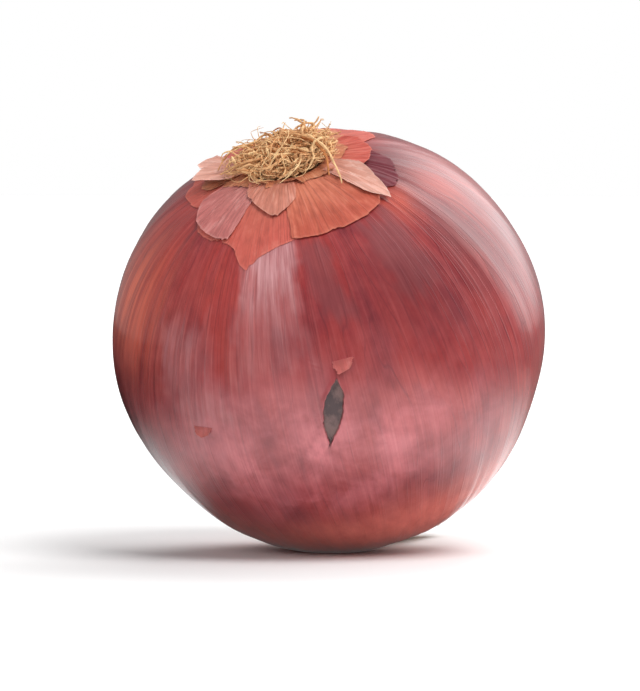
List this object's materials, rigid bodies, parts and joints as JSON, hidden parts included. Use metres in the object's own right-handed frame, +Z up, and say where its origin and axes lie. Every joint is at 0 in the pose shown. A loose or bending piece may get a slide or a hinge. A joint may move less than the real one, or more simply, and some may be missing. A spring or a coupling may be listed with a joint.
{
  "type": "red onion",
  "caption": "Whole red onion in dry wine-red skin, lying on a small flat spot with its dried root end up and its dry neck bent back under it.",
  "frame": {"origin": "on the surface that the onion lies on, in the middle of the small flat spot under the bulb", "axes": "+Z up; the bulb's axis leans 29 degrees from upright, with the root end raised towards -Y and the dry neck lying back along +Y"},
  "size_m": [0.0802, 0.0859, 0.0804],
  "materials": {
    "bulb": "glossy dry skin",
    "root_tuft": "matte",
    "collar_outer": "satin",
    "collar_inner": "satin"
  },
  "bodies": {
    "root": {"bulb": "bulb", "root_tuft": "root_tuft", "collar_outer": "collar_outer", "collar_inner": "collar_inner"}
  },
  "joints": []
}
